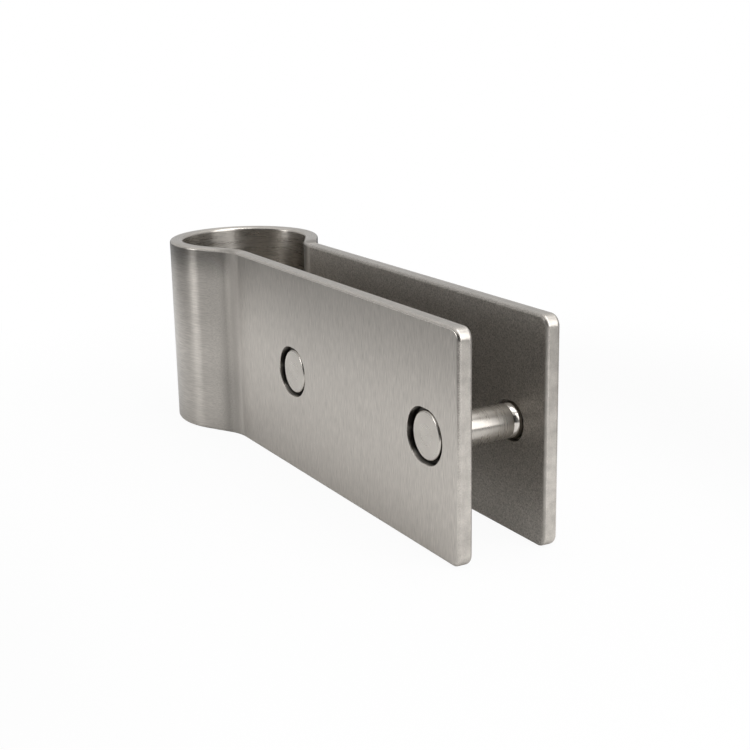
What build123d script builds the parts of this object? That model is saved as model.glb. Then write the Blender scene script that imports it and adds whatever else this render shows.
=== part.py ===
from build123d import *

import os
from math import acos, atan2, degrees, hypot

# Shower screen bracket: a steel strap bent round a vertical post, with two cheeks that
# clamp a glass panel between them and two fixings that pass through the cheeks and the glass.
#
# Frame: the origin is on the post's axis at half the strap's height, +Z is up along the post,
# +X points to the open end of the cheeks and Y runs across the glass. Sizes are in millimetres.

# Post and glass that the bracket is made for
post_diameter = 33.7
post_clearance = 0.1
slot_width = 17.6

# Strap
strap_height = 50.0
strap_thickness = 3.5
reach = 128.4
neck_run = 8.0
neck_radius = 12.0
corner_radius = 2.6
edge_radius = 0.8

# Fixings: places along the cheeks and the holes they pass through, which are slots with
# some play along the cheeks, so that the bracket can be shifted to suit the glass
fixing_to_end = 13.1
fixing_spacing = 61.7
fixing_play = 1.9
web_thickness = 1.2
hole_edge_break = 0.15

# Heads, the same on the sleeve nut and on the screw
head_diameter = 10.8
head_recess = 0.5
head_edge_radius = 0.5
head_clearance = 1.2

# Sleeve nut
sleeve_diameter = 7.6
sleeve_edge_break = 0.25
thread_depth = 13.0

# Screw: its neck passes through the far cheek and meets the sleeve in the slot
neck_diameter = 8.0
neck_clearance = 0.8
neck_standout = 1.0
neck_edge_break = 0.2
thread_diameter = 5.0
thread_clearance = 0.1
thread_length = 11.5
thread_tip_break = 0.3
socket_width = 4.0
socket_depth = 2.4

# How near an edge must lie to a skin to count as lying on it
on_skin_tolerance = 0.01

# Places that follow from the sizes above
bore_radius = (post_diameter + post_clearance) / 2
cheek_inside = slot_width / 2
cheek_outside = cheek_inside + strap_thickness
# The strap leaves the ring in straight runs, at this angle to the cheeks, and each run ends in
# a bend the other way. From the ring's centre to a bend's centre is one radius plus the other
# across the run and the run's length along it, which gives the angle.
bend_to_bend = bore_radius + strap_thickness + neck_radius
neck_spread = hypot(bend_to_bend, neck_run)
neck_angle = degrees(acos((cheek_outside + neck_radius) / neck_spread) - atan2(neck_run, bend_to_bend))
counterbore_depth = strap_thickness - web_thickness
counterbore_width = head_diameter + head_clearance
hole_width = neck_diameter + neck_clearance
head_seat_y = cheek_inside + web_thickness
head_thickness = counterbore_depth - head_recess
neck_length = web_thickness + neck_standout
sleeve_length = 2 * head_seat_y - neck_length
fixing_x = {
    "inner": reach - fixing_to_end - fixing_spacing,
    "outer": reach - fixing_to_end,
}


def strap_line(depth):
    """One skin of the strap seen from above, at a depth outwards from the bore side: out from
    the ring along both runs, through the neck bends and along both cheeks, and round the ring."""
    ring_radius = bore_radius + depth
    bend_radius = neck_radius + strap_thickness - depth
    cheek_y = cheek_inside + depth
    far_start = Vector(0, ring_radius).rotate(Axis.Z, -neck_angle)
    along_run = Vector(1, 0).rotate(Axis.Z, -neck_angle)
    far_run = Line(far_start, far_start + along_run * neck_run)
    far_neck = JernArc(far_run @ 1, far_run % 1, bend_radius, neck_angle)
    far_cheek = Line(far_neck @ 1, (reach, cheek_y))
    mirror((far_run, far_neck, far_cheek), about=Plane.XZ)
    JernArc(far_start, -along_run, ring_radius, 180 + 2 * neck_angle)
    return far_cheek @ 1


def cheek_plane(side, x, y):
    """Plane across a cheek at a distance from the middle of the slot, facing outwards.
    The side is +1 for the far cheek and -1 for the near one."""
    return Plane(origin=(x, side * y, 0), x_dir=(1, 0, 0), z_dir=(0, side, 0))


def make_strap():
    """The strap has one thickness all the way, so both skins share their bend centres."""
    with BuildPart() as strap:
        with BuildSketch():
            with BuildLine():
                inner_end = strap_line(0)
                outer_end = strap_line(strap_thickness)
                for side in (1, -1):
                    Line((inner_end.X, side * inner_end.Y), (outer_end.X, side * outer_end.Y))
            make_face()
        extrude(amount=strap_height / 2, both=True)

        # Rounded corners of the cheeks' ends
        end_edges = strap.edges().filter_by(Axis.Y).group_by(Axis.X)[-1]
        fillet(end_edges, corner_radius)

        # Softened edges all round both skins; the lines where bends begin are left alone
        across = strap.edges().filter_by(Axis.Y)
        upright = strap.edges().filter_by(Axis.Z).group_by(Axis.X)[:-1]
        bend_lines = ShapeList(edge for group in upright for edge in group)
        fillet(strap.edges() - across - bend_lines, edge_radius)

        # Holes for the fixings, counterbored from outside so that the heads lie below the skin
        for side in (-1, 1):
            for x in fixing_x.values():
                with BuildSketch(cheek_plane(side, x, head_seat_y)):
                    SlotOverall(counterbore_width + fixing_play, counterbore_width)
                extrude(amount=counterbore_depth, mode=Mode.SUBTRACT)
                with BuildSketch(cheek_plane(side, x, cheek_inside)):
                    SlotOverall(hole_width + fixing_play, hole_width)
                extrude(amount=web_thickness, mode=Mode.SUBTRACT)

        # Broken edges where the holes meet the skins
        chamfer(strap.edges().filter_by(is_hole_mouth), hole_edge_break)
    return strap.part


def is_hole_mouth(edge):
    """A part of a fixing hole's outline on the inside or outside skin of a cheek."""
    middle = edge.center()
    off_skin = min(abs(abs(middle.Y) - y) for y in (cheek_inside, cheek_outside))
    off_fixing = min(abs(middle.X - x) for x in fixing_x.values())
    inside_outline = off_fixing < (counterbore_width + fixing_play) / 2 + on_skin_tolerance
    return off_skin < on_skin_tolerance and inside_outline and abs(middle.Z) < counterbore_width


def make_sleeve_nut():
    """Stands on the underside of its head with the sleeve upwards."""
    with BuildPart() as nut:
        Cylinder(head_diameter / 2, head_thickness, align=(Align.CENTER, Align.CENTER, Align.MAX))
        fillet(nut.edges().group_by(Axis.Z)[0], head_edge_radius)
        Cylinder(sleeve_diameter / 2, sleeve_length, align=(Align.CENTER, Align.CENTER, Align.MIN))
        chamfer(nut.edges().group_by(Axis.Z)[-1], sleeve_edge_break)
        with Locations((0, 0, sleeve_length)):
            Cylinder(
                (thread_diameter + thread_clearance) / 2,
                thread_depth,
                align=(Align.CENTER, Align.CENTER, Align.MAX),
                mode=Mode.SUBTRACT,
            )
    return nut.part


def make_screw():
    """Stands on the underside of its head with the neck and thread upwards."""
    with BuildPart() as screw:
        Cylinder(head_diameter / 2, head_thickness, align=(Align.CENTER, Align.CENTER, Align.MAX))
        fillet(screw.edges().group_by(Axis.Z)[0], head_edge_radius)
        Cylinder(neck_diameter / 2, neck_length, align=(Align.CENTER, Align.CENTER, Align.MIN))
        chamfer(screw.edges().group_by(Axis.Z)[-1], neck_edge_break)
        with Locations((0, 0, neck_length)):
            Cylinder(
                thread_diameter / 2,
                thread_length,
                align=(Align.CENTER, Align.CENTER, Align.MIN),
            )
        chamfer(screw.edges().group_by(Axis.Z)[-1], thread_tip_break)
        with BuildSketch(Plane.XY.offset(-head_thickness)):
            RegularPolygon(socket_width / 2, 6, major_radius=False)
        extrude(amount=socket_depth, mode=Mode.SUBTRACT)
    return screw.part


def seat(piece, side, x):
    """Put a fixing's piece with its head on the bottom of a cheek's counterbore."""
    inwards = Plane(origin=(x, side * head_seat_y, 0), x_dir=(1, 0, 0), z_dir=(0, -side, 0))
    return inwards * piece


os.makedirs("parts", exist_ok=True)
pieces = {"strap": make_strap()}
for place, x in fixing_x.items():
    pieces[f"sleeve_nut_{place}"] = seat(make_sleeve_nut(), -1, x)
    pieces[f"screw_{place}"] = seat(make_screw(), 1, x)
for name, piece in pieces.items():
    export_step(piece, f"parts/{name}.step")
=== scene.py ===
# %% [markdown]
# # Shower screen bracket
# A flat steel strap is bent round a post, and its two ends run on as parallel cheeks that hold a
# glass screen with two fixings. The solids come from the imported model, in metres, with the post's
# axis at the origin, +Z up and +X towards the open end. This lesson makes a finer mesh to stand in
# for each of them, in the order of the real work, and then gives them what the solids lack:
# brushed, turned and polished steel, soft light and the photograph's view.

# %% Load the bracket
import math

import bmesh
import bpy
from mathutils import Matrix, Vector


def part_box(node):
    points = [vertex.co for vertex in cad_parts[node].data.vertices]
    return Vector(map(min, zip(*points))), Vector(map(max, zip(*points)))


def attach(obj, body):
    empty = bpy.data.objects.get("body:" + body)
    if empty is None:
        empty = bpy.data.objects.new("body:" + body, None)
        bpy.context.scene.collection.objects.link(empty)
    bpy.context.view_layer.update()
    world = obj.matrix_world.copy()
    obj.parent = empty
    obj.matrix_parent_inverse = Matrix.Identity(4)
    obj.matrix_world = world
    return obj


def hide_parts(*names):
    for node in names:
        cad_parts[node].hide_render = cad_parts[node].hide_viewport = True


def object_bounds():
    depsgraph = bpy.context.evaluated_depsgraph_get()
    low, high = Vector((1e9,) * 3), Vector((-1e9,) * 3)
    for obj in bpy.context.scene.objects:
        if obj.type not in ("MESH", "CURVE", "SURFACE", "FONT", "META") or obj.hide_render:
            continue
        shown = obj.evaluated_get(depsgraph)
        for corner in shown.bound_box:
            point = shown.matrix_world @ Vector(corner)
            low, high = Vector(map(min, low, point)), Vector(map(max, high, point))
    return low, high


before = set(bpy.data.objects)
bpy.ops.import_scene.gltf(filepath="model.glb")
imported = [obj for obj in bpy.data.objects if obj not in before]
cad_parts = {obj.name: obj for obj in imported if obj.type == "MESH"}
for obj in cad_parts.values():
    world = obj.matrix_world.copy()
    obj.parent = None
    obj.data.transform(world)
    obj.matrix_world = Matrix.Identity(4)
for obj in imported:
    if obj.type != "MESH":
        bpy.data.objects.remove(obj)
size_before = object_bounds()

strap_low, strap_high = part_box("strap")
print("strap from", tuple(strap_low), "to", tuple(strap_high))

# %% [markdown]
# ## Sizes and places
# Both the meshes and the finishes need to know where the strap's faces lie. The ring's radius and
# the open end come from the strap's box, and each fixing's axis from its own box. The strap's
# thickness and the glass slot are the two sizes that a box doesn't give.

# %% Sizes of the strap and places of the fixings
strap_thickness = 0.0035
slot_half = 0.0088
cheek_skin = slot_half + strap_thickness
ring_outside = -strap_low.x
ring_middle = ring_outside - strap_thickness / 2
open_end = strap_high.x
half_height = strap_high.z
fixing_places = ("inner", "outer")
fixing_x = []
for place in fixing_places:
    nut_low, nut_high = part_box(f"sleeve_nut_{place}")
    fixing_x.append((nut_low.x + nut_high.x) / 2)
print("ring radius", ring_outside, "m, fixings at x", fixing_x)

# %% [markdown]
# ## The strap, made as the workshop makes it
# The solid strap has the right shape, but the lamps show the flats on its rounded edges and holes.
# A finer one stands in for it, made in the order of the real work: a flat blank with rounded
# corners and edges is bent round the post, and the holes are cut. Bending is only a rule that
# takes a place on the blank to a place on the strap, so every row of the mesh follows the bends.
#
# The strap leaves the ring in a straight run and turns back in a bend. From the ring's centre to
# the bend's is one radius plus the other across the run, and the run's length along it, and that
# gives the angle at which each neck meets its cheek.

# %% The rule of the bend
bore_radius = ring_outside - strap_thickness
neck_run, neck_radius = 0.008, 0.012
bend_to_bend = ring_outside + neck_radius
neck_spread = math.hypot(bend_to_bend, neck_run)
neck_angle = math.acos((cheek_skin + neck_radius) / neck_spread) - math.atan2(neck_run, bend_to_bend)
ring_length = (math.pi / 2 + neck_angle) * ring_middle
bend_length = neck_angle * (neck_radius + strap_thickness / 2)
cheek_start = bend_to_bend * math.sin(neck_angle) + neck_run * math.cos(neck_angle)
half_length = ring_length + neck_run + bend_length + open_end - cheek_start
print("the flat blank is", round(2 * half_length, 4), "m long")
print("each neck turns by", round(math.degrees(neck_angle), 1), "degrees")


def bent(along, height, depth):
    """Takes a place on the blank, measured from the middle of its bore side, to the strap."""
    left = abs(along)
    if left <= ring_length:
        turn = left / ring_middle
        x = -(bore_radius + depth) * math.cos(turn)
        y = (bore_radius + depth) * math.sin(turn)
    elif left <= ring_length + neck_run:
        run = left - ring_length
        x = (bore_radius + depth) * math.sin(neck_angle) + run * math.cos(neck_angle)
        y = (bore_radius + depth) * math.cos(neck_angle) - run * math.sin(neck_angle)
    elif left <= ring_length + neck_run + bend_length:
        share = (left - ring_length - neck_run) / bend_length
        turn = neck_angle * (1 - share)
        from_centre = neck_radius + strap_thickness - depth
        x = cheek_start - from_centre * math.sin(turn)
        y = cheek_skin + neck_radius - from_centre * math.cos(turn)
    else:
        x = open_end - (half_length - left)
        y = slot_half + depth
    return x, math.copysign(y, along), height


# %% [markdown]
# ### The blank's outline and edge
# The outline is walked once round: each station has a centre and a direction, and stands one
# corner radius from its centre, less an inset. The edge's section gives the insets, from one skin
# round to the other, so the same stations serve every row.

# %% Stations round the blank and the section of its edge
corner_radius, edge_rounding = 0.0026, 0.0008
ring_steps, bend_steps, corner_steps, edge_steps = 44, 12, 8, 6


def quarter(steps):
    """Angles from 0 to a right angle."""
    return [math.pi / 2 * step / steps for step in range(steps + 1)]


ring_stops = [ring_length * step / ring_steps for step in range(ring_steps + 1)]
bend_stops = [ring_length + neck_run + bend_length * step / bend_steps for step in range(bend_steps + 1)]
half_stops = ring_stops + bend_stops
stops = [-stop for stop in reversed(half_stops[1:])] + half_stops
centre_along, centre_height = half_length - corner_radius, half_height - corner_radius
upper = [(-centre_along, -math.cos(turn), math.sin(turn)) for turn in quarter(corner_steps)]
upper += [(stop, 0.0, 1.0) for stop in stops]
upper += [(centre_along, math.cos(turn), math.sin(turn)) for turn in reversed(quarter(corner_steps))]
edge_section = [
    (edge_rounding * (1 - math.sin(turn)), edge_rounding * (1 - math.cos(turn)))
    for turn in quarter(edge_steps)
]
edge_section += [(inset, strap_thickness - depth) for inset, depth in reversed(edge_section)]
print(len(upper) * 2, "stations round the blank,", len(edge_section), "rows through its thickness")

# %% [markdown]
# ### Bending
# Every row through the thickness has the same number of points, so the rows join into the rim,
# and the two outer rows close across the strap as its skins. The blank never exists flat: each
# point is bent as it is made.


# %% Bend the blank
def join_rows(mesh, rows):
    """Joins closed rows of as many points each into a wall."""
    for row, next_row in zip(rows, rows[1:]):
        for here in range(len(row)):
            there = (here + 1) % len(row)
            mesh.faces.new((row[here], row[there], next_row[there], next_row[here]))


def bent_blank():
    """Rows of points through the thickness, joined round the rim and across both skins."""
    mesh = bmesh.new()
    rows = []
    for inset, depth in edge_section:
        reach = corner_radius - inset
        above = [(a + reach * out_a, centre_height + reach * out_h) for a, out_a, out_h in upper]
        below = [(along, -height) for along, height in reversed(above)]
        rows.append([mesh.verts.new(bent(along, height, depth)) for along, height in above + below])
    join_rows(mesh, rows)
    count = len(rows[0])
    for row in (rows[0], rows[-1]):
        for here in range(len(upper) - 1):
            mesh.faces.new((row[here], row[here + 1], row[count - 2 - here], row[count - 1 - here]))
    bmesh.ops.recalc_face_normals(mesh, faces=mesh.faces)
    return mesh


strap_mesh = bent_blank()
print("the bent strap has", len(strap_mesh.faces), "faces")

# %% [markdown]
# ### The fixing holes
# Each hole is a slot, so that the bracket can be shifted to suit the glass, with a wider slot
# sunk from outside for the head. One cutter has the whole shape: stadium outlines stacked along
# Y, with the broken edges at both mouths.

# %% Cutters for the holes
through_half, head_half, fixing_play = 0.0044, 0.0060, 0.0019
web_thickness, mouth_break, past_skin = 0.0012, 0.00015, 0.0005
round_steps, mouth_steps = 36, 4


def cutter_section():
    """Half widths of a hole and their distances from the middle of the glass slot."""
    mouth = [
        (mouth_break * (1 - math.cos(turn)), mouth_break * (1 - math.sin(turn)))
        for turn in quarter(mouth_steps)
    ]
    inside = [(through_half + wider, slot_half + deeper) for wider, deeper in reversed(mouth)]
    outside = [(head_half + wider, cheek_skin - deeper) for wider, deeper in mouth]
    start = [(through_half + mouth_break, slot_half - past_skin)]
    seat = [(through_half, slot_half + web_thickness), (head_half, slot_half + web_thickness)]
    stop = [(head_half + mouth_break, cheek_skin + past_skin)]
    return start + inside + seat + outside + stop


def add_cutter(mesh, side, x):
    """One stack of stadium outlines through a cheek."""
    rows = []
    for half_width, from_middle in cutter_section():
        row = []
        for end in (1, -1):
            for step in range(round_steps + 1):
                turn = math.pi * (step / round_steps - 0.5)
                along = x + end * (fixing_play / 2 + half_width * math.cos(turn))
                row.append(mesh.verts.new((along, side * from_middle, end * half_width * math.sin(turn))))
        rows.append(row)
    join_rows(mesh, rows)
    mesh.faces.new(rows[0])
    mesh.faces.new(rows[-1])


cutters = bmesh.new()
for side in (1, -1):
    for x in fixing_x:
        add_cutter(cutters, side, x)
bmesh.ops.recalc_face_normals(cutters, faces=cutters.faces)
print("the hole cutters have", len(cutters.faces), "faces")

# %% [markdown]
# ### Cutting and shading
# A cut leaves long thin faces beside each hole. They lie flat, but smooth shading would bend the
# light on them, so edges above a set angle stay sharp and the large faces keep their own normals.
# A finished piece stands in for the solid of the same name: the solid is hidden, and the piece rides
# on the root body and later takes the same steel as that solid.

# %% Helpers that cut, shade and place a piece
sharp_from = math.radians(33)
fine_pieces = {}


def object_from(mesh, name):
    """Turns a worked mesh into an object of the scene."""
    data = bpy.data.meshes.new(name)
    mesh.to_mesh(data)
    mesh.free()
    made = bpy.data.objects.new(name, data)
    bpy.context.scene.collection.objects.link(made)
    return made


def settled(made):
    """Makes an object's modifiers part of its mesh."""
    shown = made.evaluated_get(bpy.context.evaluated_depsgraph_get())
    made.data = bpy.data.meshes.new_from_object(shown)
    made.modifiers.clear()


def cut_away(made, cutter):
    """Takes a cutter's shape out of a piece."""
    cut = made.modifiers.new("cut", "BOOLEAN")
    cut.operation = "DIFFERENCE"
    cut.solver = "EXACT"
    cut.object = cutter
    settled(made)
    bpy.data.objects.remove(cutter)


def stand_in(made, node_name):
    """Shades a finished piece and lets it stand for the solid of that name."""
    made.data.shade_smooth()
    made.data.set_sharp_from_angle(angle=sharp_from)
    flatter = made.modifiers.new("faces stay flat", "WEIGHTED_NORMAL")
    flatter.keep_sharp = True
    settled(made)
    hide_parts(node_name)
    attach(made, "root")
    fine_pieces[node_name] = made
    print(made.name, "has", len(made.data.polygons), "faces")


# %% Cut the holes and finish the strap
strap = object_from(strap_mesh, "bent_strap")
cut_away(strap, object_from(cutters, "hole_cutters"))
stand_in(strap, "strap")

# %% [markdown]
# ## The turned pieces
# The sleeve nuts and screws came off a lathe, so each is a half section spun round its axis. As
# with the strap, the finer piece stands in for the solid of the same name and keeps its form. The
# section is walked from the middle of the head's face out to the rim, under the head, along the
# shaft and back to the axis. Lengths are measured from the head's seat in the cheek.

# %% Spin a section
spin_steps = 96
seat_y = slot_half + web_thickness


def circle(mesh, x, y, radius, steps):
    """A row of points round a fixing's axis."""
    turns = [2 * math.pi * step / steps for step in range(steps)]
    return [mesh.verts.new((x + radius * math.cos(turn), y, radius * math.sin(turn))) for turn in turns]


def spun(section, side, x):
    """A closed mesh turned about a fixing's axis, with its head in the cheek on that side."""
    mesh = bmesh.new()
    rows = [circle(mesh, x, side * (seat_y - along), radius, spin_steps) for radius, along in section[1:-1]]
    join_rows(mesh, rows)
    for row, (_, along) in ((rows[0], section[0]), (rows[-1], section[-1])):
        tip = mesh.verts.new((x, side * (seat_y - along), 0.0))
        for here in range(spin_steps):
            mesh.faces.new((tip, row[here], row[(here + 1) % spin_steps]))
    bmesh.ops.recalc_face_normals(mesh, faces=mesh.faces)
    return mesh


# %% The head, the same on both
head_radius, head_thickness, head_edge = 0.0054, 0.0018, 0.0005
rim_steps = 6
head_section = [(0.0, -head_thickness)]
head_section += [
    (head_radius - head_edge * (1 - math.sin(turn)), head_edge * (1 - math.cos(turn)) - head_thickness)
    for turn in quarter(rim_steps)
]
head_section += [(head_radius, 0.0)]
print("a head is", 2 * head_radius, "m across and", head_thickness, "m thick")

# %% Sleeve nuts
screw_neck_length = 0.0022
sleeve_radius, sleeve_break = 0.0038, 0.00025
thread_bore, thread_depth = 0.00255, 0.013
sleeve_end = 2 * seat_y - screw_neck_length
nut_section = head_section + [
    (sleeve_radius, 0.0),
    (sleeve_radius, sleeve_end - sleeve_break),
    (sleeve_radius - sleeve_break, sleeve_end),
    (thread_bore, sleeve_end),
    (thread_bore, sleeve_end - thread_depth),
    (0.0, sleeve_end - thread_depth),
]
for place, x in zip(fixing_places, fixing_x):
    nut = object_from(spun(nut_section, -1, x), f"turned_sleeve_nut_{place}")
    stand_in(nut, f"sleeve_nut_{place}")

# %% [markdown]
# ### Screws
# The screw's neck flares a little from the sleeve towards its head, so that it fills the hole
# and meets the sleeve in a fine dark line. The head has a socket for a hexagon key, which is cut
# with a six-sided bar.

# %% Section of a screw
neck_narrow, neck_wide, flare_length = 0.0036, 0.0042, 0.0014
thread_radius, thread_length, thread_break = 0.0025, 0.0115, 0.0003
screw_end = screw_neck_length + thread_length
screw_section = head_section + [
    (neck_wide, 0.0),
    (neck_wide, screw_neck_length - flare_length),
    (neck_narrow, screw_neck_length),
    (thread_radius, screw_neck_length),
    (thread_radius, screw_end - thread_break),
    (thread_radius - thread_break, screw_end),
    (0.0, screw_end),
]
print("the screw's shaft is", screw_end, "m long")

# %% Screws with their sockets
socket_across, socket_depth = 0.004, 0.0024


def socket_bar(x):
    """A six-sided bar that reaches from outside the head to the bottom of its socket."""
    bar = bmesh.new()
    to_corner = socket_across / 2 / math.cos(math.pi / 6)
    face_y = seat_y + head_thickness
    ends = []
    for y in (face_y + past_skin, face_y - socket_depth):
        ends.append(circle(bar, x, y, to_corner, 6))
        bar.faces.new(ends[-1])
    join_rows(bar, ends)
    bmesh.ops.recalc_face_normals(bar, faces=bar.faces)
    return object_from(bar, "socket_bar")


for place, x in zip(fixing_places, fixing_x):
    screw = object_from(spun(screw_section, 1, x), f"turned_screw_{place}")
    cut_away(screw, socket_bar(x))
    stand_in(screw, f"screw_{place}")

# %% [markdown]
# ## The camera
# It stands to the right of the bracket and a little above it. The direction, distance and lens
# were found by laying the strap's outline over the photograph. A small roll matches the
# photograph's slight lean.

# %% Camera
camera_azimuth = math.radians(60.857)
camera_elevation = math.radians(14.968)
camera_roll = math.radians(-1.023)
camera_distance = 0.318736
camera_target = Vector((0.073053, 0.0, 0.001724))
camera_lens = 64.881

towards_camera = Vector((
    math.sin(camera_azimuth) * math.cos(camera_elevation),
    -math.cos(camera_azimuth) * math.cos(camera_elevation),
    math.sin(camera_elevation),
))
level_right = Vector((0, 0, 1)).cross(towards_camera).normalized()
level_up = towards_camera.cross(level_right)
camera_right = level_right * math.cos(camera_roll) + level_up * math.sin(camera_roll)
camera_up = level_up * math.cos(camera_roll) - level_right * math.sin(camera_roll)

camera = bpy.data.objects.new("camera", bpy.data.cameras.new("camera"))
bpy.context.scene.collection.objects.link(camera)
camera.matrix_world = (
    Matrix.Translation(camera_target + towards_camera * camera_distance)
    @ Matrix((camera_right, camera_up, towards_camera)).transposed().to_4x4()
)
camera.data.sensor_width = 36
camera.data.lens = camera_lens
camera.data.clip_start = 0.01
camera.data.clip_end = 20
bpy.context.scene.camera = camera
print("camera stands at", tuple(camera.matrix_world.translation))

# %% [markdown]
# ## Tools for the finishes
# A material is a small graph of nodes. These helpers add one node each and link it, so that the
# cells below read as sentences about the steel rather than as lists of sockets.


# %% Helpers that add one node
def node(tree, kind, inputs=None, **settings):
    """Adds a node, sets its properties, and fills or links its inputs."""
    made = tree.nodes.new(kind)
    for name, value in settings.items():
        setattr(made, name, value)
    for socket, value in (inputs or {}).items():
        if isinstance(value, bpy.types.NodeSocket):
            tree.links.new(value, made.inputs[socket])
        else:
            made.inputs[socket].default_value = value
    return made


def maths(tree, operation, *values, clamp=False):
    """One Math node; gives its output."""
    made = node(tree, "ShaderNodeMath", dict(enumerate(values)), operation=operation, use_clamp=clamp)
    return made.outputs[0]


def vectors(tree, operation, *values):
    """One Vector Math node; gives its vector, or its number where the result is one."""
    made = node(tree, "ShaderNodeVectorMath", dict(enumerate(values)), operation=operation)
    return made.outputs["Value" if operation in ("DOT_PRODUCT", "LENGTH", "DISTANCE") else "Vector"]


def ramp(tree, value, start, stop, low=0.0, high=1.0):
    """Goes smoothly from low to high while the value goes from start to stop."""
    made = node(tree, "ShaderNodeMapRange", {
        "Value": value, "From Min": start, "From Max": stop, "To Min": low, "To Max": high,
    }, interpolation_type="SMOOTHSTEP")
    return made.outputs["Result"]


def blend(tree, factor, first, second):
    """Mixes two vectors or two colours."""
    made = node(tree, "ShaderNodeMix", {0: factor, 4: first, 5: second}, data_type="VECTOR")
    return made.outputs[1]


def blend_numbers(tree, factor, first, second):
    """Mixes two numbers."""
    made = node(tree, "ShaderNodeMix", {0: factor, 2: first, 3: second}, data_type="FLOAT")
    return made.outputs[0]


def size_of(tree, value):
    """A number without its sign."""
    return maths(tree, "ABSOLUTE", value)


def parts_of(tree, vector):
    """The X, Y and Z of a vector."""
    made = node(tree, "ShaderNodeSeparateXYZ", {0: vector})
    return made.outputs["X"], made.outputs["Y"], made.outputs["Z"]


def joined(tree, x, y, z):
    """A vector from three numbers."""
    return node(tree, "ShaderNodeCombineXYZ", {0: x, 1: y, 2: z}).outputs[0]


print("helpers that add one node are ready")


# %% Helpers that add a few nodes
def product(tree, first, *others):
    """Numbers multiplied together."""
    for other in others:
        first = maths(tree, "MULTIPLY", first, other)
    return first


def varied(tree, middle, share, noise):
    """A middle value, more or less by up to half a share, as a noise goes from 0 to 1."""
    above_half = maths(tree, "SUBTRACT", noise, 0.5)
    return maths(tree, "MULTIPLY_ADD", above_half, share, middle)


def new_group(name, inputs, outputs):
    """An empty node group with named sockets; gives the tree, its inputs and its output node."""
    tree = bpy.data.node_groups.new(name, "ShaderNodeTree")
    for socket, (kind, value) in inputs.items():
        made = tree.interface.new_socket(socket, in_out="INPUT", socket_type=kind)
        if value is not None:
            made.default_value = value
    for socket, kind in outputs.items():
        tree.interface.new_socket(socket, in_out="OUTPUT", socket_type=kind)
    print(name, "takes", list(inputs), "and gives", list(outputs))
    return tree, tree.nodes.new("NodeGroupInput").outputs, tree.nodes.new("NodeGroupOutput").inputs


def use_group(tree, group, **inputs):
    """Places a group in a material; gives its outputs. Line_width=1 fills the socket Line width."""
    made = tree.nodes.new("ShaderNodeGroup")
    made.node_tree = group
    for socket, value in inputs.items():
        socket = socket.replace("_", " ").capitalize()
        if isinstance(value, bpy.types.NodeSocket):
            tree.links.new(value, made.inputs[socket])
        else:
            made.inputs[socket].default_value = value
    return made.outputs


number, place_socket = "NodeSocketFloat", "NodeSocketVector"
print("groups take", number, "and", place_socket)


# %% [markdown]
# ## Brushed lines
# The abrasive belt leaves short hair-fine scratches side by side. A noise stretched along one
# axis gives such lines at any size. The group takes a place whose X and Y run across the lines
# and whose Z runs along them, so each piece can turn its place first and share the same lines.
# It gives a fine height for the bump, and slow streaks, which are bundles of lines, for the tone.

# %% Group: brushed lines
brushed_lines, given, gives = new_group(
    "brushed lines",
    {"Place": (place_socket, None), "Line width": (number, 0.00014), "Line length": (number, 0.0026)},
    {"Height": number, "Streaks": number},
)


def stretched_noise(tree, place, width, length, detail):
    """Noise in cells of one width across and one length along."""
    per_width = maths(tree, "DIVIDE", 1.0, width)
    per_length = maths(tree, "DIVIDE", 1.0, length)
    cells = vectors(tree, "MULTIPLY", place, joined(tree, per_width, per_width, per_length))
    return node(tree, "ShaderNodeTexNoise", {
        "Vector": cells, "Scale": 1.0, "Detail": detail, "Roughness": 0.6}).outputs[0]


tree = brushed_lines
fine_lines = stretched_noise(tree, given["Place"], given["Line width"], given["Line length"], 2.0)
tree.links.new(fine_lines, gives["Height"])
lines_in_bundle = 5.0
bundle_width = maths(tree, "MULTIPLY", given["Line width"], lines_in_bundle)
bundle_length = maths(tree, "MULTIPLY", given["Line length"], lines_in_bundle)
bundles = stretched_noise(tree, given["Place"], bundle_width, bundle_length, 3.0)
tree.links.new(bundles, gives["Streaks"])

# %% [markdown]
# ## Mottling
# Where no belt has passed, as on the cut ends and inside the slot, rolled steel keeps a faint
# cloudy skin with fine grit in it. Two plain noises of different size give both.

# %% Group: mottling
mottling, given, gives = new_group(
    "mottling",
    {"Place": (place_socket, None), "Grit size": (number, 0.0003), "Cloud size": (number, 0.004)},
    {"Grit": number, "Clouds": number},
)
tree = mottling
for size_name, result_name, detail in (("Grit size", "Grit", 2.0), ("Cloud size", "Clouds", 3.0)):
    per_size = maths(tree, "DIVIDE", 1.0, given[size_name])
    noise = node(tree, "ShaderNodeTexNoise", {
        "Vector": given["Place"], "Scale": per_size, "Detail": detail}).outputs[0]
    tree.links.new(noise, gives[result_name])

# %% [markdown]
# ## Turning marks
# A lathe tool leaves a fine groove that runs round the axis. The group takes a place whose Y runs
# along the turned piece's own axis. Noise in the distance from that axis gives rings on a face,
# and noise along the axis gives rings on a shaft. The bands are several rings wide.

# %% Group: turning marks
turning_marks, given, gives = new_group(
    "turning marks",
    {"Place": (place_socket, None), "Ring width": (number, 0.00018)},
    {"Height": number, "Bands": number},
)
tree = turning_marks
turned_x, turned_y, turned_z = parts_of(tree, given["Place"])
off_axis = vectors(tree, "LENGTH", joined(tree, turned_x, 0.0, turned_z))
per_ring = maths(tree, "DIVIDE", 1.0, given["Ring width"])
off_and_along = joined(tree, off_axis, turned_y, 0.0)
ring_cells = vectors(tree, "MULTIPLY", off_and_along, joined(tree, per_ring, per_ring, 0.0))
bands_per_ring = 0.22
for result_name, scale, detail in (("Height", 1.0, 2.0), ("Bands", bands_per_ring, 1.0)):
    noise = node(tree, "ShaderNodeTexNoise", {
        "Vector": ring_cells, "Scale": scale, "Detail": detail}).outputs[0]
    tree.links.new(noise, gives[result_name])

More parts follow.
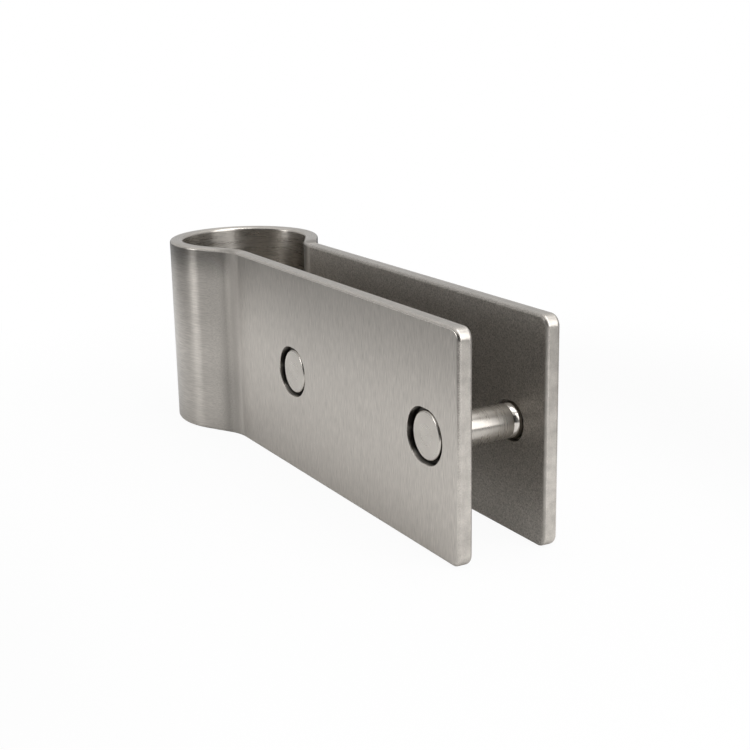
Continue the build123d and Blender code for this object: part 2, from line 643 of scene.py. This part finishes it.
# %% [markdown]
# ## Rubbed edges
# Rounded edges are touched most, so their scratches are worn finer and they shine more than the
# flat faces. How far a surface has turned away from a face tells where its edge is: the measure is
# 1 on the face, 0 on the side, and between the two on the rounding. Grit breaks the mask up.

# %% Group: rubbed edges
rubbed_edges, given, gives = new_group(
    "rubbed edges",
    {"Facing": (number, 1.0), "Grit": (number, 0.5), "Grit share": (number, 0.5)},
    {"Wear": number},
)
tree = rubbed_edges
side_ends, face_ends = (0.05, 0.30), (0.97, 0.88)
leaving_side = ramp(tree, given["Facing"], *side_ends)
leaving_face = ramp(tree, given["Facing"], *face_ends)
on_rounding = product(tree, leaving_side, leaving_face)
broken_up = varied(tree, 1.0, given["Grit share"], given["Grit"])
tree.links.new(maths(tree, "MULTIPLY", on_rounding, broken_up, clamp=True), gives["Wear"])

# %% [markdown]
# ## Painted shade in the gaps
# The gaps round the heads are narrow and keep the cutter's dull skin. Their shade is painted into
# the colour: the steel darkens with its depth below either skin of the cheek. The group takes the
# distance from the middle of the glass slot and gives how unshaded the steel is, from almost 0 at
# the bottom of a gap to 1 at the skins and outside the cheek.

# %% Group: painted gap shade
painted_gap_shade, given, gives = new_group("painted gap shade", {"Off middle": (number, 0.0)}, {"Unshaded": number})
tree = painted_gap_shade
below_outside = maths(tree, "SUBTRACT", cheek_skin, given["Off middle"])
below_inside = maths(tree, "SUBTRACT", given["Off middle"], slot_half)
gap_depth = maths(tree, "MINIMUM", below_outside, below_inside)
# Painted shade: darkest at the bottom of a gap and gone at either skin.
deepest_shade_depth, deepest_shade = 0.0018, 0.06
tree.links.new(ramp(tree, gap_depth, deepest_shade_depth, 0.0, deepest_shade, 1.0), gives["Unshaded"])

# %% [markdown]
# ## Starting a steel
# All three finishes are bare metal, so each starts as a metal shader with an output. What is the
# same all over a piece, such as how much the grain stretches a reflection, is set on the shader's
# own socket, and only what varies is linked.

# %% Helpers that start a steel and colour it
noise_low, noise_high = 0.25, 0.75


def new_steel(name, anisotropic):
    """A metal material; gives it, its tree, its shader, and the point's place and facing."""
    material = bpy.data.materials.new(name)
    material.use_nodes = True
    tree = material.node_tree
    tree.nodes.clear()
    shader = node(tree, "ShaderNodeBsdfPrincipled", {"Metallic": 1.0, "Anisotropic": anisotropic})
    node(tree, "ShaderNodeOutputMaterial", {"Surface": shader.outputs[0]})
    here = node(tree, "ShaderNodeTexCoord")
    print(name, "stretches its shine by", anisotropic)
    return material, tree, shader, here.outputs["Object"], here.outputs["Normal"]


def tinted(tree, colour, variation, share):
    """A colour made up to one share darker or lighter by a noise that runs from 0 to 1."""
    darker = tuple(part * (1 - share) for part in colour)
    lighter = tuple(part * (1 + share) for part in colour)
    return blend(tree, ramp(tree, variation, noise_low, noise_high), darker, lighter)


def toned(tree, colour, brightness):
    """A colour made darker or lighter by one number."""
    return vectors(tree, "MULTIPLY", colour, joined(tree, brightness, brightness, brightness))


def raised(tree, height, depth):
    """The normal of a surface whose height runs from 0 to one depth."""
    return node(tree, "ShaderNodeBump", {"Height": height, "Distance": depth}).outputs[0]


def from_nearest_fixing(tree, x, y, z):
    """A point's place from the axis of the fixing that it is nearer to."""
    halfway = (fixing_x[0] + fixing_x[1]) / 2
    nearer_outer = maths(tree, "GREATER_THAN", x, halfway)
    axis_x = blend_numbers(tree, nearer_outer, fixing_x[0], fixing_x[1])
    return joined(tree, maths(tree, "SUBTRACT", x, axis_x), y, z)


# %% [markdown]
# ## Brushed steel: where each point lies on the strap
# The belt ran round the ring, but up and down the cheeks, so the scratches change direction at
# the neck bends. Round the ring a point's place is its distance along the ring, its height and
# its distance from the post's axis; on the cheeks it is plain X, Y and Z. Both are worked out from
# the point's own position, so the finish needs no unwrapping and has no seams.

# %% Places on the ring and on the cheeks
brushed_steel, tree, shader, point, facing = new_steel("brushed steel", 0.8)
x, y, z = parts_of(tree, point)
off_middle = size_of(tree, y)
facing_y, facing_z = parts_of(tree, facing)[1:]
facing_up = size_of(tree, facing_z)
beside_axis = vectors(tree, "MULTIPLY", point, (1, 1, 0))
from_axis = vectors(tree, "LENGTH", beside_axis)
round_angle = maths(tree, "ARCTAN2", y, maths(tree, "MULTIPLY", x, -1.0))
round_ring = maths(tree, "MULTIPLY", round_angle, ring_middle)
print("the ring's lines run round at", ring_middle, "m from the post's axis")

# %% [markdown]
# ### Masks
# A mask is 1 on one kind of surface and 0 elsewhere, and goes over smoothly between the two numbers
# of its pair. Most follow X, which runs along the cheeks. The facing tells the narrow faces from the
# skins, and the distance from the post's axis tells the strap's outside from its bore side.

# %% Masks for the cheeks, the narrow faces, the ends, the slot and the bends
grain_turns = (0.0185, 0.0255)
narrow_begins, skin_begins = (0.6, 0.85), (0.30, 0.05)
end_begins = (open_end - edge_rounding * 1.2, open_end - edge_rounding * 0.4)
slot_begins = (slot_half + 0.0007, slot_half + 0.0002)
bend_begins, bend_ends = (0.0135, 0.018), (0.0228, 0.019)
on_cheek = ramp(tree, x, *grain_turns)
on_narrow = ramp(tree, facing_up, *narrow_begins)
on_skin = ramp(tree, facing_up, *skin_begins)
on_end = ramp(tree, x, *end_begins)
in_slot = product(tree, on_cheek, ramp(tree, off_middle, *slot_begins))
unbrushed = maths(tree, "MAXIMUM", on_end, in_slot)
in_bend = product(tree, ramp(tree, x, *bend_begins), ramp(tree, x, *bend_ends))
part_way = strap_thickness / 4
on_outside = product(tree, on_skin, ramp(tree, from_axis, ring_middle, ring_middle + part_way))
in_bore = product(tree, on_skin, ramp(tree, from_axis, ring_middle, ring_middle - part_way))
print("the scratches turn between", grain_turns[0], "and", grain_turns[1], "m from the post's axis")

# %% Mask for the fixing holes
hole_place = from_nearest_fixing(tree, x, y, z)
from_hole = vectors(tree, "LENGTH", vectors(tree, "MULTIPLY", hole_place, (1, 0, 1)))
near_fixing = maths(tree, "LESS_THAN", from_hole, head_half + fixing_play)
halfway_down = slot_half + strap_thickness / 2
off_halfway = size_of(tree, maths(tree, "SUBTRACT", off_middle, halfway_down))
below_skin = maths(tree, "LESS_THAN", off_halfway, strap_thickness / 2 - mouth_break)
in_hole = product(tree, near_fixing, below_skin)
print("a hole's walls lie within", head_half + fixing_play, "m of its fixing")

# %% [markdown]
# ### The direction of the shine
# A brushed face spreads a reflection across its scratches. The Tangent of the Principled shader
# names the direction of that spread: level on the cheeks, whose scratches are upright, and upright
# on the ring, whose scratches run round it. On the narrow faces the grain follows the strap, and on
# the unbrushed faces a random tangent at each point makes the shine even on all sides.

# %% Tangent of the strap's shine
points_per_metre = 4000.0
ring_way = vectors(tree, "NORMALIZE", vectors(tree, "CROSS_PRODUCT", (0, 0, 1), beside_axis))
along_strap = blend(tree, on_cheek, ring_way, (1, 0, 0))
spread_on_skin = blend(tree, on_cheek, (0, 0, 1), along_strap)
spread_on_narrow = vectors(tree, "CROSS_PRODUCT", along_strap, (0, 0, 1))
spread = blend(tree, on_narrow, spread_on_skin, spread_on_narrow)
any_noise = node(tree, "ShaderNodeTexNoise", {"Vector": point, "Scale": points_per_metre})
any_way = vectors(tree, "SUBTRACT", any_noise.outputs["Color"], (0.5, 0.5, 0.5))
tree.links.new(blend(tree, unbrushed, spread, any_way), shader.inputs["Tangent"])
print("unbrushed faces change their tangent every", 1 / points_per_metre, "m")

# %% [markdown]
# ### Scratches
# The lines are worked out twice, once for the ring and once for the cheeks, and cross-faded where
# the belt changed direction. The narrow faces take the same lines turned to run along the strap.
# The unbrushed faces take grit instead, and the holes take the rings that the cutter left.

# %% Scratches of the strap
turned_to_narrow = 0.7
ring_line_length, cloud_size, cutter_ring_width = 0.0030, 0.0022, 0.00012
scratch_depth = 0.00002
narrow_now = maths(tree, "GREATER_THAN", facing_up, turned_to_narrow)
cheek_place = blend(tree, narrow_now, point, joined(tree, y, z, x))
ring_skin_place = joined(tree, z, from_axis, round_ring)
ring_edge_place = joined(tree, from_axis, z, round_ring)
ring_place = blend(tree, narrow_now, ring_skin_place, ring_edge_place)
cheek_lines = use_group(tree, brushed_lines, Place=cheek_place)
ring_lines = use_group(tree, brushed_lines, Place=ring_place, Line_length=ring_line_length)
skin = use_group(tree, mottling, Place=point, Cloud_size=cloud_size)
hole_marks = use_group(tree, turning_marks, Place=hole_place, Ring_width=cutter_ring_width)
height = blend_numbers(tree, on_cheek, ring_lines["Height"], cheek_lines["Height"])
height = blend_numbers(tree, unbrushed, height, skin["Grit"])
height = blend_numbers(tree, in_hole, height, hole_marks["Height"])
tree.links.new(raised(tree, height, scratch_depth), shader.inputs["Normal"])
print("scratches are up to", scratch_depth, "m deep")

# %% [markdown]
# ### Tone of the strap
# A scratch is darker at its bottom, so the same height that raises lines and grit also tones them:
# more in the slot and in the bore, and least on the cut ends, which have faint clouds too. The belt
# can't follow a hollow, so the neck bends are rougher. Shade is painted into the colour of the
# slot's inside, the neck bends, the bore and the ring's outside towards its rim and its foot, and
# a painted highlight makes the cheeks a little brighter beside the necks.

# %% How strongly lines, grit and clouds tone each face
lines_on_ring, lines_in_bore, lines_on_cheek = 0.85, 1.15, 0.90
grit_in_slot, grit_on_end, clouds_on_end = 1.60, 0.40, 0.5
line_share = blend_numbers(tree, in_bore, lines_on_ring, lines_in_bore)
line_share = blend_numbers(tree, on_cheek, line_share, lines_on_cheek)
line_share = blend_numbers(tree, in_slot, line_share, grit_in_slot)
line_share = blend_numbers(tree, on_end, line_share, grit_on_end)
line_tone = varied(tree, 1.0, line_share, height)
cloud_tone = varied(tree, 1.0, product(tree, on_end, clouds_on_end), skin["Clouds"])
unshaded = use_group(tree, painted_gap_shade, Off_middle=off_middle)["Unshaded"]
# Painted shade in the holes: their walls darken with their depth below the skins.
hole_steel = 0.9
brightness = blend_numbers(tree, in_hole, line_tone, product(tree, unshaded, hole_steel))
brightness = product(tree, brightness, cloud_tone)
print("lines tone the cheeks by", lines_on_cheek, "and the bore by", lines_in_bore)

# %% Painted shade and light on parts of the strap
rim_along, foot_along = (0.0225, 0.0165), (0.030, 0.020)
rim_height, foot_height = (0.0155, 0.0245), (-0.002, -0.012)
start_along, start_height = (0.066, 0.0235), (-0.010, 0.012)
rim_painted_shade = product(tree, on_outside, ramp(tree, x, *rim_along), ramp(tree, z, *rim_height))
foot_painted_shade = product(tree, on_outside, ramp(tree, x, *foot_along), ramp(tree, z, *foot_height))
neck_painted_light = product(tree, on_outside, on_cheek, ramp(tree, x, *start_along), ramp(tree, z, *start_height))
# Painted shade and light, not a finish of the steel: each tone darkens or brightens its mask.
tones = (
    (in_slot, 0.75),
    (in_bend, 0.68),
    (rim_painted_shade, 0.43),
    (foot_painted_shade, 0.83),
    (neck_painted_light, 1.18),
    (in_bore, 0.92),
)
for mask, tone_there in tones:
    brightness = product(tree, brightness, blend_numbers(tree, mask, 1.0, tone_there))
print(len(tones), "parts of the strap have a tone of their own")

# %% Colour of the strap
steel_colour, streak_tint = (0.61, 0.575, 0.530), 0.025
streaks = blend_numbers(tree, on_cheek, ring_lines["Streaks"], cheek_lines["Streaks"])
streaks = blend_numbers(tree, unbrushed, streaks, skin["Clouds"])
tone = tinted(tree, steel_colour, streaks, streak_tint)
tree.links.new(toned(tree, tone, brightness), shader.inputs["Base Color"])
print("brushed steel is", steel_colour)

# %% [markdown]
# ### Roughness of the strap
# The belt leaves a satin shine, a little rougher and smoother in turns from bundle to bundle of
# lines. Rubbed edges are smoother, and the slot, the bends and the holes are rougher.

# %% Roughness of the strap
satin, streaks_on_strap, streaks_in_bore = 0.29, 0.06, 0.25
flat_to_side = maths(tree, "SQRT", maths(tree, "SUBTRACT", 1.0, maths(tree, "MULTIPLY", facing_z, facing_z)))
facing_out = blend_numbers(tree, on_cheek, flat_to_side, size_of(tree, facing_y))
wear = use_group(tree, rubbed_edges, Facing=facing_out, Grit=skin["Grit"], Grit_share=0.3)["Wear"]
streak_share = blend_numbers(tree, in_bore, streaks_on_strap, streaks_in_bore)
roughness = varied(tree, satin, streak_share, streaks)
for mask, rougher in ((wear, -0.06), (in_slot, 0.18), (in_bend, 0.22), (in_hole, 0.15)):
    roughness = maths(tree, "MULTIPLY_ADD", mask, rougher, roughness)
tree.links.new(roughness, shader.inputs["Roughness"])
print("brushed steel has a roughness of about", satin)

# %% [markdown]
# ## Turned steel: the sleeve nuts
# The sleeve and its flat head came off a lathe. Rings run round the middle of the head's face, and
# fainter ones round the sleeve. A turned face spreads its shine across its rings, so the tangent
# points away from the axis on the head and along the axis on the sleeve. In the gap round a head
# the sides take the same painted shade as the hole's walls.

# %% Turned steel: places, shine and rings
turned_steel, tree, shader, point, facing = new_steel("turned steel", 0.7)
x, y, z = parts_of(tree, point)
facing_out = size_of(tree, parts_of(tree, facing)[1])
own_place = from_nearest_fixing(tree, x, y, z)
own_x, _, own_z = parts_of(tree, own_place)
on_face = maths(tree, "GREATER_THAN", facing_out, 0.5)
away_from_axis = joined(tree, own_x, 0.0, own_z)
tree.links.new(blend(tree, on_face, (0, 1, 0), away_from_axis), shader.inputs["Tangent"])
tool_step, ring_depth, rings_on_sleeve = 0.00018, 0.000003, 0.11
marks = use_group(tree, turning_marks, Place=own_place, Ring_width=tool_step)
rings = product(tree, marks["Height"], blend_numbers(tree, on_face, rings_on_sleeve, 1.0))
tree.links.new(raised(tree, rings, ring_depth), shader.inputs["Normal"])
print("the tool moved", tool_step, "m a turn")

# %% Turned steel: colour and roughness
turned_colour, cloud_tint = (0.62, 0.586, 0.541), 0.04
face_begins = (0.1, 0.7)
band_range, turned_smooth, turned_rough, worn_smoother = (0.3, 0.7), 0.27, 0.30, -0.08
skin = use_group(tree, mottling, Place=own_place)
unshaded = use_group(tree, painted_gap_shade, Off_middle=size_of(tree, y))["Unshaded"]
# Painted shade: the head's sides darken with their depth in the gap, and its face stays as it is.
brightness = blend_numbers(tree, ramp(tree, facing_out, *face_begins), unshaded, 1.0)
tone = tinted(tree, turned_colour, skin["Clouds"], cloud_tint)
tree.links.new(toned(tree, tone, brightness), shader.inputs["Base Color"])
wear = use_group(tree, rubbed_edges, Facing=facing_out, Grit=skin["Grit"])["Wear"]
roughness = ramp(tree, marks["Bands"], *band_range, turned_smooth, turned_rough)
tree.links.new(maths(tree, "MULTIPLY_ADD", wear, worn_smoother, roughness), shader.inputs["Roughness"])
print("turned steel is", turned_colour)

# %% [markdown]
# ## Polished steel: the screws
# The screw's neck shines like a mirror beside the satin sleeve. Only very fine rings and a breath
# of grit keep its reflections from being perfect. The head was polished less and is duller, and
# bands of rings tint both a little.

# %% Polished steel
polished_steel, tree, shader, point, facing = new_steel("polished steel", 0.0)
x, y, z = parts_of(tree, point)
own_place = from_nearest_fixing(tree, x, y, z)
polished_step, polished_grit, polished_depth = 0.00010, 0.00015, 0.000002
marks = use_group(tree, turning_marks, Place=own_place, Ring_width=polished_step)
skin = use_group(tree, mottling, Place=own_place, Grit_size=polished_grit)
polished_colour, band_tint = (0.67, 0.636, 0.592), 0.05
tree.links.new(tinted(tree, polished_colour, marks["Bands"], band_tint), shader.inputs["Base Color"])
tree.links.new(raised(tree, marks["Height"], polished_depth), shader.inputs["Normal"])
grit_range, neck_smooth, neck_rough, head_rougher = (0.2, 0.8), 0.06, 0.12, 0.12
polish = ramp(tree, skin["Grit"], *grit_range, neck_smooth, neck_rough)
on_head = ramp(tree, size_of(tree, y), seat_y, seat_y + head_thickness / 2)
tree.links.new(maths(tree, "MULTIPLY_ADD", on_head, head_rougher, polish), shader.inputs["Roughness"])
print("polished steel is", polished_colour)

# %% [markdown]
# ## Dressing the pieces
# Each solid, and the finer piece that stands in for it, gets the finish of what it is: the strap is
# brushed, the sleeve nuts are turned, and the screws are polished.

# %% Give each piece its steel
finishes = {"strap": brushed_steel, "sleeve_nut": turned_steel, "screw": polished_steel}
for name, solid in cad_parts.items():
    steel = next(steel for start, steel in finishes.items() if name.startswith(start))
    for piece in (solid, fine_pieces[name]):
        piece.data.materials.clear()
        piece.data.materials.append(steel)
    print(name, "is", steel.name)

# %% [markdown]
# ## The floor
# The bracket stands on a sheet of pale paper. To the camera the paper is white, as in the
# photograph, with a trace of the bracket's shadow. Steel shows it too: bright near the bracket and
# darker further out. This pool of light is painted into the paper's grey, and a faint painted glow
# near the bracket is seen only by steel, on top of the lamps' own light. That fall is what gives
# the cheek its soft gradient towards the top edge.

# %% Sheet of paper
half_side = 4.0
corners = [(-half_side, -half_side), (half_side, -half_side), (half_side, half_side), (-half_side, half_side)]
floor_mesh = bpy.data.meshes.new("floor")
floor_mesh.from_pydata([(across, along, strap_low.z) for across, along in corners], [], [(0, 1, 2, 3)])
floor = bpy.data.objects.new("floor", floor_mesh)
bpy.context.scene.collection.objects.link(floor)
print("floor at z", strap_low.z)

# %% Painted pool of light on the paper
paper = bpy.data.materials.new("pale paper")
paper.use_nodes = True
tree = paper.node_tree
tree.nodes.clear()
bracket_middle = (size_before[0] + size_before[1]) / 2
below_bracket = (bracket_middle.x, bracket_middle.y, strap_low.z)
floor_point = node(tree, "ShaderNodeTexCoord").outputs["Object"]
floor_y = parts_of(tree, floor_point)[1]
far_out = vectors(tree, "DISTANCE", floor_point, below_bracket)
front_falls, front_share = (-0.070, -0.14), 0.38
back_falls, back_share = (0.035, 0.10), 0.55
lit_in_front = ramp(tree, floor_y, *front_falls, 1.0, front_share)
lit_behind = ramp(tree, floor_y, *back_falls, 1.0, back_share)
lit_share = product(tree, lit_in_front, lit_behind)
print("light on the paper falls to", front_share, "in front and to", back_share, "behind")


# %% How the paper looks to the lamps, to steel and to the camera
def kinds_of_ray(tree):
    """Two masks: rays from the camera, and rays from a mirroring or clear surface."""
    light_path = node(tree, "ShaderNodeLightPath").outputs
    mirrored = maths(tree, "MAXIMUM", light_path["Is Glossy Ray"], light_path["Is Transmission Ray"])
    return light_path["Is Camera Ray"], mirrored


# Painted pool of light: the paper's grey falls off with distance from the bracket and towards the front and
# back.
paper_falls, grey_near, grey_far = (0.21, 0.45), 0.88, 0.28
painted_pool_grey = product(tree, lit_share, ramp(tree, far_out, *paper_falls, grey_near, grey_far))
matt = node(tree, "ShaderNodeBsdfDiffuse", {"Color": painted_pool_grey})
glow = node(tree, "ShaderNodeEmission", {"Color": (1, 1, 1, 1), "Strength": 1.0})
from_camera, mirrored = kinds_of_ray(tree)
shadow_ends, white_near = (0.10, 0.20), 0.94
seen_white = product(tree, from_camera, ramp(tree, far_out, *shadow_ends, white_near, 1.0))
# Painted glow near the bracket, seen only in steel, with the same fall-off.
glow_falls, glow_in_steel = (0.15, 0.32), 0.06
steel_share = product(tree, lit_share, ramp(tree, far_out, *glow_falls, glow_in_steel, 0.0))
seen_in_steel = product(tree, mirrored, steel_share)
glow_share = maths(tree, "ADD", seen_white, seen_in_steel)
sheet = node(tree, "ShaderNodeMixShader", {0: glow_share, 1: matt.outputs[0], 2: glow.outputs[0]})
node(tree, "ShaderNodeOutputMaterial", {"Surface": sheet.outputs[0]})
floor_mesh.materials.append(paper)
print("paper grey falls from", grey_near, "to", grey_far, "over", paper_falls, "m")

# %% [markdown]
# ## The room
# The backdrop is white to the camera. To the steel the room is a soft grey, because less light
# reaches it, the side in front of the near cheek is dark, and the side behind the bracket shows a
# little of the white backdrop. Steel has no tone of its own: what makes it look like steel is this
# difference between bright and dark sides in its reflections.

# %% Directions in the room
world = bpy.data.worlds.new("studio")
bpy.context.scene.world = world
world.use_nodes = True
tree = world.node_tree
tree.nodes.clear()
outward = node(tree, "ShaderNodeTexCoord").outputs["Generated"]
level_outward = vectors(tree, "NORMALIZE", vectors(tree, "MULTIPLY", outward, (1, 1, 0)))
up_share = parts_of(tree, outward)[2]


def beside_azimuth(azimuth, begins, full, most=1.0):
    """Grows to its most between two angles off an azimuth, all in degrees."""
    turn = math.radians(azimuth)
    cosine = vectors(tree, "DOT_PRODUCT", level_outward, (math.cos(turn), math.sin(turn), 0))
    return ramp(tree, cosine, math.cos(math.radians(begins)), math.cos(math.radians(full)), 0.0, most)


print(world.name, "is a world of directions from the bracket")

# %% Dark side, grey room and white backdrop
dark_azimuth, dark_top, dark_full, dark_grey = -50, 60, 35, 0.04
dark_round = beside_azimuth(dark_azimuth, 54, 38)
dark_low = ramp(tree, up_share, math.sin(math.radians(dark_top)), math.sin(math.radians(dark_full)))
grey_rises, grey_low, grey_high = (0.2, 0.95), 0.48, 0.85
lit_grey = ramp(tree, up_share, *grey_rises, grey_low, grey_high)
room_grey = blend_numbers(tree, product(tree, dark_round, dark_low), lit_grey, dark_grey)
backdrop_azimuth, backdrop_in_steel = 151, 0.12
on_backdrop = beside_azimuth(backdrop_azimuth, 80, 35, backdrop_in_steel)
from_camera, mirrored = kinds_of_ray(tree)
seen_white = maths(tree, "MAXIMUM", from_camera, product(tree, mirrored, on_backdrop))
room = node(tree, "ShaderNodeBackground", {"Color": room_grey, "Strength": 1.0})
white = node(tree, "ShaderNodeBackground", {"Color": (1, 1, 1, 1), "Strength": 1.0})
seen = node(tree, "ShaderNodeMixShader", {0: seen_white, 1: room.outputs[0], 2: white.outputs[0]})
node(tree, "ShaderNodeOutputWorld", {"Surface": seen.outputs[0]})
print("dark side towards azimuth", dark_azimuth, "and backdrop towards", backdrop_azimuth)

# %% [markdown]
# ## The lamps
# Three soft boxes do the work: a wide one to the right and behind, which lights the ends of the
# cheeks and the fixings, a narrow low one in front of the ring, which draws the upright band of
# light on it, and one overhead for the paper and the top edges.


# %% Soft boxes
def soft_box(name, azimuth, elevation, distance, width, height, radiance):
    """A soft box that faces the bracket's middle."""
    lamp = bpy.data.lights.new(name, "AREA")
    lamp.shape = "RECTANGLE"
    lamp.size = width
    lamp.size_y = height
    lamp.energy = radiance * math.pi * width * height
    box = bpy.data.objects.new(name, lamp)
    turn, climb = math.radians(azimuth), math.radians(elevation)
    outward = Vector((math.cos(turn) * math.cos(climb), math.sin(turn) * math.cos(climb), math.sin(climb)))
    box.location = bracket_middle + outward * distance
    box.rotation_mode = "QUATERNION"
    box.rotation_quaternion = outward.to_track_quat("Z", "Y")
    box.visible_camera = False
    bpy.context.scene.collection.objects.link(box)
    print(name, "at", tuple(box.location))


soft_box("right box", azimuth=20, elevation=27, distance=0.8, width=0.60, height=0.70, radiance=1.8)
soft_box("ring box", azimuth=-113.6, elevation=9, distance=0.82, width=0.18, height=0.24, radiance=4.6)
soft_box("overhead box", azimuth=30, elevation=75, distance=0.7, width=0.45, height=0.45, radiance=1.9)

# %% [markdown]
# ## Finish
# The colours are shown with the Standard view. The dressed bracket must still be as large
# as the solids.

# %% Finish
bpy.context.scene.view_settings.view_transform = "Standard"
